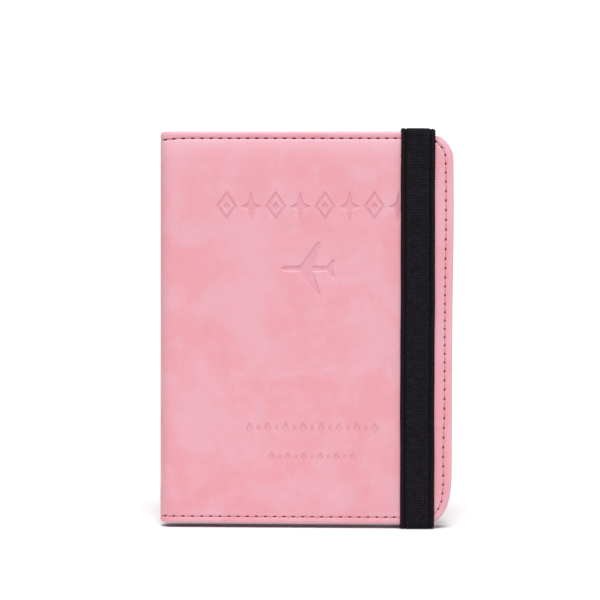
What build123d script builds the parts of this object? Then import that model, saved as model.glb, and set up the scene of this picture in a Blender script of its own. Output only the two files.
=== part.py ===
"""Passport holder: a soft two-panel cover with a folding spine, inner pockets and an elastic closure band.

It stands closed on its bottom edge. X runs from the spine to the fore-edge, Y from front to back, Z up.
The origin is the centre of the footprint. Lengths are in millimetres.
"""

import os
from collections import namedtuple
from math import cos, degrees, pi, radians, sin

from build123d import *

# ---------------------------------------------------------------- driving dimensions
COVER_WIDTH = 104.5  # spine fold to fore-edge, closed
COVER_HEIGHT = 141.0
CLOSED_DEPTH = 12.0  # front face to back face, closed, without the band
CORNER_RADIUS = 10.0
FOLD_RADIUS = 5.0  # outside radius of the spine's two folds

SKIN = 0.9
BOARD = 0.8
SHIELD = 0.2
LINING = 0.4
PANEL = 0.4  # card and ticket pocket leather
POCKET_PANEL = 0.5  # passport pocket leather

HEM = 1.2  # width of the turned edge seen from inside
EDGE_ROUND = 1.0
BOARD_INSET = 3.5
PANEL_GAP = 0.1  # between a layer's edge and the hem

BAND_WIDTH = 12.0
BAND_THICKNESS = 1.0
BAND_GAP = 0.2  # between the band and the cover
BAND_BEND = 1.7  # centre-line radius where the band turns over an edge
BAND_FROM_FORE_EDGE = 12.7  # band centre line to fore-edge
BAND_LIP = 1.0  # straight run past each bend
TAIL_LENGTH = 12.0  # band end sewn inside the back cover

CARD_WIDTH = 85.6  # a standard bank card
CARD_PLAY = 1.6  # side to side play of a card in its slot
CARD_DEPTH = 45.0  # height of a slot panel
CARD_STEP = 15.0  # each slot's mouth above the one before it
CARD_SLOTS = 3
TICKET_MARGIN = 2.5  # how far the ticket pocket shows beside the card slots
POCKET_WIDTH = 64.0  # fore-edge to the passport pocket's mouth
POCKET_BOW = 5.0  # how far that mouth curves back in the middle
SIM_SIZE = (32.0, 24.0)

STITCH_INSET = 2.6
EDGE_STITCH_INSET = 1.4  # topstitching along a pocket's free edge
STITCH_PITCH = 3.15
STITCH_LENGTH = 2.2
THREAD_WIDTH = 0.55
THREAD_HEIGHT = 0.3
GROOVE_WIDTH = 0.8
GROOVE_DEPTH = 0.35

# ---------------------------------------------------------------- places worked out from them
DEPTH = CLOSED_DEPTH + BAND_GAP + BAND_THICKNESS
BACK_FACE = DEPTH / 2
FRONT_FACE = BACK_FACE - CLOSED_DEPTH
MIDDLE = (BACK_FACE + FRONT_FACE) / 2

FORE_EDGE = COVER_WIDTH / 2
SPINE_FACE = -COVER_WIDTH / 2
PANEL_LEFT = SPINE_FACE + FOLD_RADIUS  # where the flat covers begin

COVER_BOTTOM = BAND_THICKNESS + BAND_GAP
COVER_TOP = COVER_BOTTOM + COVER_HEIGHT
COVER_CENTRE_Z = (COVER_BOTTOM + COVER_TOP) / 2
BAND_X = FORE_EDGE - BAND_FROM_FORE_EDGE

BOARD_DEPTH = SKIN
SHIELD_DEPTH = BOARD_DEPTH + BOARD
LINING_DEPTH = SHIELD_DEPTH + SHIELD
INSIDE_DEPTH = LINING_DEPTH + LINING  # a cover's thickness at its edge
LAYER_INSET = HEM + PANEL_GAP

Side = namedtuple("Side", "name face inward")
FRONT = Side("front", FRONT_FACE, 1)
BACK = Side("back", BACK_FACE, -1)

# Inner panels of the front cover: left edge, bottom, top and depth of the outer side.
PanelPlace = namedtuple("PanelPlace", "left bottom top depth")
PANEL_BOTTOM = COVER_BOTTOM + LAYER_INSET
PANEL_TOP = COVER_TOP - LAYER_INSET
CARD_LEFT = FORE_EDGE - STITCH_INSET - CARD_WIDTH - CARD_PLAY - EDGE_STITCH_INSET
TICKET_LEFT = CARD_LEFT - TICKET_MARGIN
TICKET = PanelPlace(TICKET_LEFT, PANEL_BOTTOM, PANEL_TOP, INSIDE_DEPTH)


def card_panel(step):
    """A card slot's panel: each one further in from the cover's lining stands a step lower."""
    bottom = PANEL_BOTTOM + (CARD_SLOTS - step) * CARD_STEP
    return PanelPlace(CARD_LEFT, bottom, bottom + CARD_DEPTH, INSIDE_DEPTH + step * PANEL)


CARD_UPPER, CARD_MIDDLE, CARD_LOWER = (card_panel(step) for step in range(1, CARD_SLOTS + 1))
FRONT_PANELS = [TICKET, CARD_UPPER, CARD_MIDDLE, CARD_LOWER]

SIM_CENTRE = (20.0, COVER_TOP - 26.0)
POCKET_LEFT = FORE_EDGE - POCKET_WIDTH

os.makedirs("parts", exist_ok=True)


# ---------------------------------------------------------------- helpers
def layer(side, depth):
    """Sketch plane at a depth below a cover's outer face. Its local axes are X and Z."""
    return Plane.XZ.offset(-(side.face + side.inward * depth))


def inward(side, thickness):
    """Extrusion amount that goes from a cover's outer face towards the middle."""
    return -side.inward * thickness


def cover_outline(plane, inset=0.0, left=PANEL_LEFT):
    """Cover shape: square at the spine and rounded at the two fore-edge corners."""
    width = FORE_EDGE - inset - left
    with BuildSketch(plane) as outline:
        with Locations((left + width / 2, COVER_CENTRE_Z)):
            Rectangle(width, COVER_HEIGHT - 2 * inset)
        fillet(outline.vertices().group_by(Axis.X)[-1], CORNER_RADIUS - inset)
    return outline.sketch


def stitch_line(inset=STITCH_INSET, left=PANEL_LEFT):
    """The seam's path in X and Z, from the spine along the top, the fore-edge and the bottom."""
    top, bottom, right = COVER_TOP - inset, COVER_BOTTOM + inset, FORE_EDGE - inset
    corners = [(left, top), (right, top), (right, bottom), (left, bottom)]
    with BuildLine() as path:
        FilletPolyline(*corners, radius=CORNER_RADIUS - inset)
    return path.wires()[0]


def stitch_places(path):
    """Centre and direction of every stitch along a path, evenly spaced near the nominal pitch."""
    count = round(path.length / STITCH_PITCH)
    for index in range(count):
        share = (index + 0.5) / count
        spot, tangent = path.position_at(share), path.tangent_at(share)
        yield spot.X, spot.Y, Vector(1, 0, 0).get_signed_angle(tangent, Vector(0, 0, 1))


def stitch_row(plane, places):
    """Round-ended stitches drawn on a plane."""
    with BuildSketch(plane) as row:
        for x, z, angle in places:
            with Locations(Location((x, z), angle)):
                SlotOverall(STITCH_LENGTH, THREAD_WIDTH)
    return row.sketch


def save(builder, name):
    builder.part.label = name
    export_step(builder.part, f"parts/{name}.step")


# ---------------------------------------------------------------- covers
def cover_skin(side):
    """Outer leather: a face with its edges turned in round the layers behind it, and a sunk seam line."""
    track = cover_outline(layer(side, 0), STITCH_INSET - GROOVE_WIDTH / 2) - cover_outline(
        layer(side, 0), STITCH_INSET + GROOVE_WIDTH / 2
    )
    with BuildPart() as skin:
        extrude(cover_outline(layer(side, 0)), amount=inward(side, INSIDE_DEPTH))
        outer = skin.faces().filter_by(Axis.Y).sort_by(Axis.Y)[-1 if side is BACK else 0]
        fillet(outer.edges().sort_by(Axis.X)[1:], EDGE_ROUND)
        extrude(cover_outline(layer(side, SKIN), HEM), amount=inward(side, INSIDE_DEPTH), mode=Mode.SUBTRACT)
        extrude(track, amount=inward(side, GROOVE_DEPTH), mode=Mode.SUBTRACT)
        if side is BACK:
            with BuildSketch(layer(side, SKIN)):
                with Locations((BAND_X, COVER_TOP), (BAND_X, COVER_BOTTOM)):
                    Rectangle(BAND_WIDTH + 2 * PANEL_GAP, 4 * HEM)
            extrude(amount=inward(side, BAND_THICKNESS), mode=Mode.SUBTRACT)
    return skin


def stiffening(side, depth, thickness, inset):
    """A sheet inside a cover. The back cover's sheets are notched where the band's ends are sewn in."""
    with BuildPart() as sheet:
        extrude(cover_outline(layer(side, depth), inset, PANEL_LEFT + 0.5), amount=inward(side, thickness))
        if side is BACK:
            with BuildSketch(layer(side, depth)):
                with Locations((BAND_X, COVER_TOP), (BAND_X, COVER_BOTTOM)):
                    Rectangle(BAND_WIDTH + 4 * PANEL_GAP, 2 * (TAIL_LENGTH + PANEL_GAP))
            extrude(amount=inward(side, thickness), mode=Mode.SUBTRACT)
    return sheet


def cover_lining(side):
    with BuildPart() as lining:
        extrude(cover_outline(layer(side, LINING_DEPTH), LAYER_INSET), amount=inward(side, LINING))
    return lining


def outer_seam(side):
    """Thread seen on the outside, lying in the seam's groove."""
    floor = layer(side, GROOVE_DEPTH)
    with BuildPart() as seam:
        extrude(stitch_row(floor, stitch_places(stitch_line())), amount=-inward(side, THREAD_HEIGHT))
    return seam


for cover in (FRONT, BACK):
    save(cover_skin(cover), f"{cover.name}_skin")
    save(stiffening(cover, BOARD_DEPTH, BOARD, BOARD_INSET), f"{cover.name}_board")
    save(stiffening(cover, SHIELD_DEPTH, SHIELD, BOARD_INSET + 0.2), f"{cover.name}_shield")
    save(cover_lining(cover), f"{cover.name}_lining")
    save(outer_seam(cover), f"{cover.name}_stitching")


# ---------------------------------------------------------------- spine
def spine_shell(outside, thickness, height):
    """Channel that follows the spine round both folds, from one cover to the other, a hair short of each."""
    centre_x = PANEL_LEFT
    sweep = 87.0
    with BuildPart() as shell:
        with BuildSketch(Plane.XY.offset(COVER_CENTRE_Z - height / 2)):
            with BuildLine():
                outer = []
                for radius, turn in ((outside, 1), (outside - thickness, -1)):
                    front_arc = CenterArc((centre_x, FRONT_FACE + FOLD_RADIUS), radius, 180, sweep)
                    back_arc = CenterArc((centre_x, BACK_FACE - FOLD_RADIUS), radius, 180 - sweep, sweep)
                    Line(front_arc @ 0, back_arc @ 1)
                    outer.append((front_arc @ 1, back_arc @ 0))
                Line(outer[0][0], outer[1][0])
                Line(outer[0][1], outer[1][1])
            make_face()
        extrude(amount=height)
    return shell


def spine_seam():
    """Stitches that run round the spine, along its top and bottom edges."""
    radius = FOLD_RADIUS - GROOVE_DEPTH + THREAD_HEIGHT / 2
    flat = CLOSED_DEPTH - 2 * FOLD_RADIUS
    middle = FOLD_RADIUS * pi / 2 + flat / 2  # along the leather, from a cover's edge
    span = degrees(STITCH_LENGTH / FOLD_RADIUS)
    arcs = []
    for step in (1, 2):
        turn = degrees((middle - step * STITCH_PITCH) / FOLD_RADIUS)
        for side, angle in ((FRONT, 270 - turn), (BACK, 90 + turn)):
            centre = (PANEL_LEFT, side.face + side.inward * FOLD_RADIUS)
            arcs.append(CenterArc(centre, radius, angle - span / 2, span, mode=Mode.PRIVATE))
    with BuildPart() as seam:
        for height in (COVER_TOP - STITCH_INSET, COVER_BOTTOM + STITCH_INSET):
            with BuildSketch(Plane.XY.offset(height - THREAD_WIDTH / 2)):
                for arc in arcs:
                    SlotArc(arc, THREAD_HEIGHT)
                with Locations((PANEL_LEFT - radius, MIDDLE)):
                    Rectangle(THREAD_HEIGHT, flat - 0.1)
            extrude(amount=THREAD_WIDTH)
    return seam


spine_skin = spine_shell(FOLD_RADIUS, SKIN, COVER_HEIGHT)
groove = spine_shell(FOLD_RADIUS, GROOVE_DEPTH, GROOVE_WIDTH)
with BuildPart() as spine_leather:
    add(spine_skin.part)
    for height in (COVER_TOP - STITCH_INSET, COVER_BOTTOM + STITCH_INSET):
        with Locations((0, 0, height - COVER_CENTRE_Z)):
            add(groove.part, mode=Mode.SUBTRACT)
save(spine_leather, "spine_skin")
save(spine_shell(FOLD_RADIUS - SKIN, LINING, COVER_HEIGHT - 2 * LAYER_INSET), "spine_lining")
save(spine_seam(), "spine_stitching")


# ---------------------------------------------------------------- front cover's pockets
def pocket_panel(place):
    """Leather panel inside the front cover, sewn at three sides and open at its top or spine side."""
    outline = cover_outline(layer(FRONT, place.depth), LAYER_INSET, place.left)
    with BuildPart() as panel:
        extrude(outline, amount=inward(FRONT, PANEL))
        split(bisect_by=Plane.XY.offset(place.top), keep=Keep.BOTTOM)
        split(bisect_by=Plane.XY.offset(place.bottom), keep=Keep.TOP)
    return panel


def front_depth(x, z):
    """Depth of the innermost surface of the front cover at a point."""
    depth = INSIDE_DEPTH
    for place in FRONT_PANELS:
        if x > place.left and place.bottom < z < place.top:
            depth = place.depth + PANEL
    return depth


def back_depth(x, z):
    """Depth of the innermost surface of the back cover at a point on the seam."""
    return INSIDE_DEPTH + POCKET_PANEL if x > POCKET_LEFT else INSIDE_DEPTH


def inner_seam(side, depth_at, clear_edges):
    """Thread seen from inside. It lies on whichever panel is innermost, and skips a panel's free edge."""
    rows = {}
    for x, z, angle in stitch_places(stitch_line()):
        half = STITCH_LENGTH / 2
        ends = [(x + d * half * cos(radians(angle)), z + d * half * sin(radians(angle))) for d in (-1, 0, 1)]
        depths = {depth_at(*end) for end in ends}
        if len(depths) == 1 and all(abs(x - edge) > half for edge in clear_edges):
            rows.setdefault(depths.pop(), []).append((x, z, angle))
    with BuildPart() as seam:
        for depth, places in rows.items():
            extrude(stitch_row(layer(side, depth), places), amount=inward(side, THREAD_HEIGHT))
    return seam


def card_seam():
    """Seams along each card slot's mouth, and down the slots' spine side."""
    left = CARD_LEFT + EDGE_STITCH_INSET
    covered_below = [CARD_MIDDLE.top, CARD_LOWER.top, PANEL_BOTTOM]
    with BuildPart() as seam:
        for place, below in zip((CARD_UPPER, CARD_MIDDLE, CARD_LOWER), covered_below):
            mouth = place.top - EDGE_STITCH_INSET
            along = Edge.make_line((left + STITCH_PITCH, mouth), (FORE_EDGE - 2 * STITCH_INSET, mouth))
            down = Edge.make_line((left, mouth), (left, below + STITCH_INSET))
            places = [*stitch_places(along), *stitch_places(down)]
            surface = layer(FRONT, place.depth + PANEL)
            extrude(stitch_row(surface, places), amount=inward(FRONT, THREAD_HEIGHT))
    return seam


save(pocket_panel(TICKET), "ticket_pocket")
save(pocket_panel(CARD_UPPER), "card_slot_upper")
save(pocket_panel(CARD_MIDDLE), "card_slot_middle")
save(pocket_panel(CARD_LOWER), "card_slot_lower")
save(inner_seam(FRONT, front_depth, [TICKET_LEFT, CARD_LEFT]), "front_inner_stitching")
save(card_seam(), "card_slot_stitching")

with BuildPart() as ticket_edge_stitching:
    edge_x = TICKET_LEFT + TICKET_MARGIN / 2
    edge_top, edge_bottom = PANEL_TOP - 2 * STITCH_INSET, PANEL_BOTTOM + 2 * STITCH_INSET
    edge_line = Edge.make_line((edge_x, edge_top), (edge_x, edge_bottom))
    edge_row = stitch_row(layer(FRONT, TICKET.depth + PANEL), stitch_places(edge_line))
    extrude(edge_row, amount=inward(FRONT, THREAD_HEIGHT))
save(ticket_edge_stitching, "ticket_edge_stitching")

with BuildPart() as sim_pocket:
    with BuildSketch(layer(FRONT, TICKET.depth + PANEL)):
        with Locations(SIM_CENTRE):
            RectangleRounded(*SIM_SIZE, 2.0)
    extrude(amount=inward(FRONT, PANEL))
save(sim_pocket, "sim_pocket")

with BuildPart() as sim_pocket_stitching:
    sew_width, sew_height = (size - 2 * EDGE_STITCH_INSET for size in SIM_SIZE)
    top_left = Vector(SIM_CENTRE[0] - sew_width / 2, SIM_CENTRE[1] + sew_height / 2)
    across, down = Vector(sew_width, 0), Vector(0, -sew_height)
    corners = [top_left, top_left + down, top_left + down + across, top_left + across]
    sides = [Edge.make_line(start, end) for start, end in zip(corners, corners[1:])]
    places = [place for side in sides for place in stitch_places(side)]
    extrude(stitch_row(layer(FRONT, TICKET.depth + 2 * PANEL), places), amount=inward(FRONT, THREAD_HEIGHT))
save(sim_pocket_stitching, "sim_pocket_stitching")


# ---------------------------------------------------------------- back cover's passport pocket
def pocket_mouth(shift=0.0):
    """The pocket's free edge, bowed towards the fore-edge so that a thumb can reach the passport."""
    middle = (POCKET_LEFT + POCKET_BOW + shift, COVER_CENTRE_Z)
    return ThreePointArc((POCKET_LEFT + shift, PANEL_TOP), middle, (POCKET_LEFT + shift, PANEL_BOTTOM))


pocket_outline = cover_outline(layer(BACK, INSIDE_DEPTH), LAYER_INSET, POCKET_LEFT)
with BuildPart() as passport_pocket:
    extrude(pocket_outline, amount=inward(BACK, POCKET_PANEL))
    with BuildSketch(layer(BACK, INSIDE_DEPTH)):
        with BuildLine():
            mouth_arc = pocket_mouth()
            Line(mouth_arc @ 0, mouth_arc @ 1)
        make_face()
    extrude(amount=inward(BACK, POCKET_PANEL), mode=Mode.SUBTRACT)
save(passport_pocket, "passport_pocket")
save(inner_seam(BACK, back_depth, [POCKET_LEFT]), "back_inner_stitching")

with BuildPart() as pocket_edge_stitching:
    with BuildLine(mode=Mode.PRIVATE) as mouth_seam:
        pocket_mouth(EDGE_STITCH_INSET)
    trim = 2 * STITCH_INSET / COVER_HEIGHT
    mouth_path = mouth_seam.edges()[0].trim(trim, 1 - trim)
    mouth_row = stitch_row(layer(BACK, INSIDE_DEPTH + POCKET_PANEL), stitch_places(mouth_path))
    extrude(mouth_row, amount=inward(BACK, THREAD_HEIGHT))
save(pocket_edge_stitching, "pocket_edge_stitching")


# ---------------------------------------------------------------- elastic band
TOP_LINE = COVER_TOP + BAND_GAP + BAND_THICKNESS / 2  # centre line over the top edge
BOTTOM_LINE = COVER_BOTTOM - BAND_GAP - BAND_THICKNESS / 2
RUN_LINE = FRONT_FACE - BAND_GAP - BAND_THICKNESS / 2
LIP_END = RUN_LINE + BAND_BEND + BAND_LIP
TAIL_BACK = BACK_FACE - SKIN  # outer side of the sewn-in end
TAIL_FRONT = TAIL_BACK - BAND_THICKNESS

band_corners = [(LIP_END, TOP_LINE), (RUN_LINE, TOP_LINE), (RUN_LINE, BOTTOM_LINE), (LIP_END, BOTTOM_LINE)]
with BuildPart() as elastic_band:
    with BuildLine(Plane.YZ.offset(BAND_X)) as band_path:
        FilletPolyline(*band_corners, radius=BAND_BEND)
    with BuildSketch(Plane(origin=(BAND_X, LIP_END, TOP_LINE), x_dir=(1, 0, 0), z_dir=(0, -1, 0))):
        Rectangle(BAND_WIDTH, BAND_THICKNESS)
    sweep()
save(elastic_band, "elastic_band")

with BuildPart() as elastic_wraps:
    for height in (TOP_LINE, BOTTOM_LINE):
        start, end = LIP_END + PANEL_GAP, TAIL_BACK
        with Locations((BAND_X, (start + end) / 2, height)):
            Box(BAND_WIDTH, end - start, BAND_THICKNESS)
save(elastic_wraps, "elastic_wraps")

with BuildPart() as elastic_tails:
    for height, upward in ((COVER_TOP + BAND_GAP, -1), (COVER_BOTTOM - BAND_GAP, 1)):
        length = TAIL_LENGTH + BAND_GAP
        with Locations((BAND_X, (TAIL_FRONT + TAIL_BACK) / 2, height + upward * length / 2)):
            Box(BAND_WIDTH, BAND_THICKNESS, length)
save(elastic_tails, "elastic_tails")
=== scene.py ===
from collections import namedtuple
from math import cos, pi, radians, sin, tau

import bpy
import numpy as np
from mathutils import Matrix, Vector
from mathutils.geometry import delaunay_2d_cdt


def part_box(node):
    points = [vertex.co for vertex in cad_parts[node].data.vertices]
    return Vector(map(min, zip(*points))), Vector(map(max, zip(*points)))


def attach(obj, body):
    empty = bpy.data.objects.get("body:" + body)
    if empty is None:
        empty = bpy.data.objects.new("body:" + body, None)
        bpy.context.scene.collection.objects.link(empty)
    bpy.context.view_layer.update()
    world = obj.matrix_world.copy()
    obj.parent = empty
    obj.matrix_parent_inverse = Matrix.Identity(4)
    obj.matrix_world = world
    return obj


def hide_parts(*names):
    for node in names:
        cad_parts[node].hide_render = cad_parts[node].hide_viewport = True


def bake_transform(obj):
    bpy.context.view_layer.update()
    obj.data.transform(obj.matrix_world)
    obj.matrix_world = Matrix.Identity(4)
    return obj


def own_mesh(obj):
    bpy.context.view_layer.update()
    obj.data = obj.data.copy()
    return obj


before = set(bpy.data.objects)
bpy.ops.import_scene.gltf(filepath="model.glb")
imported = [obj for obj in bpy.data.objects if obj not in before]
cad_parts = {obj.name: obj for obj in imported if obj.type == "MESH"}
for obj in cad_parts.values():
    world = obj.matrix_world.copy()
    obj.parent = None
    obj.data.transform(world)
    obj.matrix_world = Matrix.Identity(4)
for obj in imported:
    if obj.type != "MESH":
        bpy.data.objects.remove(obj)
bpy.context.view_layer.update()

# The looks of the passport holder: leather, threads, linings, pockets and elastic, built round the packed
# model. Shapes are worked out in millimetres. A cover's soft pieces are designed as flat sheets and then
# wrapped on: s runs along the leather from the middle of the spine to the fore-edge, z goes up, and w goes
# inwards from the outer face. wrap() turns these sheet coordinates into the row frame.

MM = 0.001


# ---------------- sizes from the frame
def box_mm(node):
    low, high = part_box(node)
    return np.array(low) / MM, np.array(high) / MM


skin_low, skin_high = box_mm("front_skin")
PANEL_LEFT, FRONT_FACE, BOTTOM = skin_low
FORE_EDGE, FRONT_INSIDE, TOP = skin_high
BACK_FACE = box_mm("back_skin")[1][1]
SPINE_FACE = box_mm("spine_skin")[0][0]
COVER_DEPTH = FRONT_INSIDE - FRONT_FACE
CENTRE_Z = (TOP + BOTTOM) / 2

# The elastic. Its lines follow the middle of its thickness.
band_low, band_high = box_mm("elastic_band")
tail_low, tail_high = box_mm("elastic_tails")
HALF_THICKNESS = 0.5
BAND_X = (band_low[0] + band_high[0]) / 2 + 0.22  # it has slipped a little towards the fore-edge
LIP_END = band_high[1]
RUN_LINE = band_low[1] + HALF_THICKNESS
TOP_LINE, BOTTOM_LINE = band_high[2] - HALF_THICKNESS, band_low[2] + HALF_THICKNESS
TAIL_Y = (tail_low[1] + tail_high[1]) / 2
BAND_BEND = 1.7
TURN_IN, TAIL_START, TAIL_END = 1.3, 0.9, 12.5  # depth of its ends inside the cover, from the two lines
BAND_HALF = 6.1  # half its width
BAND_SIDE = 45.5  # where its fore-edge side bears on the top rim
RIB_PITCH = 0.55
SELVEDGE = 1.65

FOLD_RADIUS = PANEL_LEFT - SPINE_FACE
HALF_SPINE = (BACK_FACE - FRONT_FACE) / 2 - FOLD_RADIUS
PLATE_S = HALF_SPINE + FOLD_RADIUS * pi / 2  # where the flat cover starts
LENGTH = PLATE_S + FORE_EDGE - PANEL_LEFT

SKIN = 0.9  # leather
LINING = 0.4
LINING_DEPTH = COVER_DEPTH - LINING
HEM = 1.25  # turned edge seen from inside
CORNER_RADIUS = 10.0
SEAM_INSET = 2.45
SEAM_END = 5.0  # where the seam's relief has faded out
PILLOW = 0.55  # how far the middle of a cover stands proud of its seam
PILLOW_RISE = 4.0  # distance over which most of that height is gained
FORE_EDGE_ZONE = 13  # next to the fore-edge, where the cover is bowed or drawn in
FOLD_ROWS = 60  # mesh rows down the spine
LAYER_INSET = 1.3  # cover edge to the edge of a layer inside it
STITCHES = 105  # along one cover's seam
SAMPLES = 12  # mesh columns for one stitch
HOLE_WIDTH = 0.26
LONG_HOLE = 0.82  # half the length of the slot that a stitch pulls open along the top
THREAD_RADIUS = 0.2
THREAD_PROUD = 0.12  # how high the middle of a stitch lies on the inner side
STITCH_RINGS, STITCH_SIDES = 11, 8  # mesh of one stitch
EDGE_SEAM = 1.4  # from a pocket's free edge to its topstitching
TOPSTITCH_PITCH = 3.2
THIN, THICK = 0.4, 0.5  # leather of the front's pockets, and of the passport pocket
SEAM_GAP = 5  # from the ends of that edge to the ends of its topstitching
POCKET_BOW = 5.0  # how far the passport pocket's mouth curves back
LAYER_CORNER = CORNER_RADIUS - LAYER_INSET  # corner radius of a layer inside the cover
CUT = 0.4  # corner radius where a panel is cut square
ROUND_OUTSIDE = (CUT, LAYER_CORNER, LAYER_CORNER, CUT)  # a panel's corners, from the lower spine-side one
WEAVE = 0.75  # of the lining, in the wave texture's scale

Side = namedtuple("Side", "name face inward body sign")
FRONT = Side("front", FRONT_FACE, 1, "front_cover", -1)
BACK = Side("back", BACK_FACE, -1, "back_cover", 1)


def smooth_step(value):
    value = np.clip(value, 0, 1)
    return value * value * (3 - 2 * value)


def hump(distance, width):
    """1 where the distance is 0, and fading to 0 on either side of it."""
    return np.exp(-((distance / width) ** 2))


def eased(side, s, z):
    """Where the sewn leather has settled, as changed s and z."""
    below_top, above_bottom = np.maximum(TOP - z, 0), np.maximum(z - BOTTOM, 0)
    past = s - LENGTH + FORE_EDGE_ZONE
    # The seam dips towards the spine at the top, and the bottom edge lifts, more at the front.
    at_seam = below_top / SEAM_INSET * np.exp(1 - below_top / SEAM_INSET)
    dip = 0.6 * smooth_step(1 - np.abs(s) / 15) * at_seam
    lift = (0.2 + 0.24 * smooth_step((10 - side.sign * s) / 16)) * smooth_step(1 - above_bottom / 14)
    # The fore-edge bows out near the top and draws in round the bottom corner.
    bow = 0.33 * hump(z - TOP + 30, 22) - 0.5 * hump(above_bottom, 9) - 0.85 * hump(above_bottom - 7, 6)
    bow = bow * smooth_step(past / FORE_EDGE_ZONE)
    # The seam along the fore-edge lies further in than the others.
    draw = (0.28 + 0.45 * hump(above_bottom - 24, 11)) * smooth_step(above_bottom / 14)
    draw = draw * smooth_step(past / 9) * smooth_step((LENGTH - s) / 2.6)
    # The elastic has pressed the top rim down at its fore-edge side.
    press = 0.75 * hump(s - plate_s(BAND_SIDE), 2.6) * smooth_step((3.2 - below_top) / 2.6)
    return s + bow - draw, z - dip + lift - press


def wrap(side, s, z, w):
    """Sheet coordinates to points in the row frame, in millimetres."""
    s, z, w = np.broadcast_arrays(*(np.asarray(c, float) for c in (s, z, w)))
    s, z = eased(side, s, z)
    turn = np.clip((s - HALF_SPINE) / FOLD_RADIUS, 0, pi / 2)
    radius = FOLD_RADIUS - w
    x = PANEL_LEFT - radius * np.cos(turn) + np.maximum(s - PLATE_S, 0)
    y = FOLD_RADIUS - radius * np.sin(turn) + np.maximum(HALF_SPINE - s, 0)
    return np.stack([x, side.face + side.inward * y, z], -1)


def plate_s(x):
    """The sheet coordinate of a place on the flat cover."""
    return PLATE_S + x - PANEL_LEFT


TO_SHEET = np.array([PLATE_S - PANEL_LEFT, 0])  # from x and z to s and z on the flat cover


# ---------------- mesh tools
def link(made):
    bpy.context.scene.collection.objects.link(made)
    return made


def make_piece(name, points, faces, material, texture_place=None):
    """A mesh piece from points in millimetres. texture_place is where each lies in the material's pattern."""
    points = np.asarray(points, float)
    mesh = bpy.data.meshes.new(name)
    mesh.from_pydata((points * MM).tolist(), [], faces)
    mesh.update()
    place = points if texture_place is None else np.asarray(texture_place, float)
    attribute = mesh.attributes.new("place", "FLOAT_VECTOR", "POINT")
    attribute.data.foreach_set("vector", place.astype(np.float32).ravel())
    mesh.shade_smooth()
    mesh.set_sharp_from_angle(angle=radians(50))
    mesh.materials.append(material)
    return link(bpy.data.objects.new(name, mesh))


def add_share(piece, name, values):
    """Stores one number from 0 to 1 at each vertex, for the material to read."""
    attribute = piece.data.attributes.new(name, "FLOAT", "POINT")
    attribute.data.foreach_set("value", np.asarray(values, np.float32))


def triangulate(loop, inside_points):
    """Fills a closed loop with triangles through the points inside it. Returns points and triangles,
    with the loop's points first and in order."""
    count = len(loop)
    points = [Vector(p) for p in np.concatenate([loop, inside_points])]
    only_inside, tolerance = 1, 1e-7
    made, _, faces, originals, _, _ = delaunay_2d_cdt(
        points, [], [list(range(count))], only_inside, tolerance)
    place_of = {old: new for new, olds in enumerate(originals) for old in olds}
    order = [place_of[i] for i in range(count)]
    on_loop = set(order)
    order += [i for i in range(len(made)) if i not in on_loop]
    rank = {old: new for new, old in enumerate(order)}
    points = np.array([made[i][:] for i in order])
    return points, [[rank[i] for i in face] for face in faces]


def inside_loop(points, loop, margin):
    """Which points lie inside a closed loop and at least margin away from it."""
    distance, inside = outline_distance(points, [loop])
    return inside & (distance > margin)


def outline_distance(points, loops):
    """Each point's distance to the nearest closed loop, and whether it is inside by the even-odd rule."""
    nearest = np.full(len(points), np.inf)
    inside = np.zeros(len(points), bool)
    for loop in loops:
        for start, end in zip(loop, np.roll(loop, -1, 0)):
            edge, offset = end - start, points - start
            share = np.clip(offset @ edge / max(edge @ edge, 1e-12), 0, 1)
            nearest = np.minimum(nearest, np.linalg.norm(offset - share[:, None] * edge, axis=1))
            above = (start[1] > points[:, 1]) != (end[1] > points[:, 1])
            if start[1] != end[1]:
                crossing = start[0] + (points[:, 1] - start[1]) / (end[1] - start[1]) * edge[0]
                inside ^= above & (points[:, 0] < crossing)
    return nearest, inside


def staggered_grid(low, high, step):
    """Points of a triangular grid that covers a rectangle."""
    points = []
    for row, height in enumerate(np.arange(low[1], high[1], step * 0.866)):
        across = np.arange(low[0] + (row % 2) * step / 2, high[0], step)
        points.append(np.stack([across, np.full_like(across, height)], -1))
    return np.concatenate(points)


def distances_along(points):
    """How far along a line each of its points lies."""
    return np.concatenate([[0], np.cumsum(np.linalg.norm(np.diff(points, axis=0), axis=1))])


def points_at(places, points):
    """The points of a line at these distances along it."""
    lengths = distances_along(points)
    return np.column_stack([np.interp(places, lengths, points[:, axis]) for axis in (0, 1)])


def extent(loops):
    """The corners of the box round some loops."""
    return np.min([loop.min(0) for loop in loops], 0), np.max([loop.max(0) for loop in loops], 0)


def grid_faces(numbers):
    """Faces between the rows and columns of an array of vertex numbers."""
    quads = [numbers[:-1, :-1], numbers[:-1, 1:], numbers[1:, 1:], numbers[1:, :-1]]
    return np.stack(quads, -1).reshape(-1, 4).tolist()


def tube_faces(rings, sides, capped=True):
    """Faces along a tube of rings of vertices, one after the other, and its two ends."""
    numbers = np.arange(rings * sides).reshape(rings, sides)
    faces = grid_faces(np.column_stack([numbers, numbers[:, 0]]))
    if capped:
        faces += [numbers[0, ::-1].tolist(), numbers[-1].tolist()]
    return faces


def merged(parts):
    """Joins lists of points and faces into one."""
    points, faces, base = [], [], 0
    for part_points, part_faces, *_ in parts:
        points.append(part_points)
        faces += [tuple(base + i for i in face) for face in part_faces]
        base += len(part_points)
    return np.concatenate(points), faces


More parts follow.
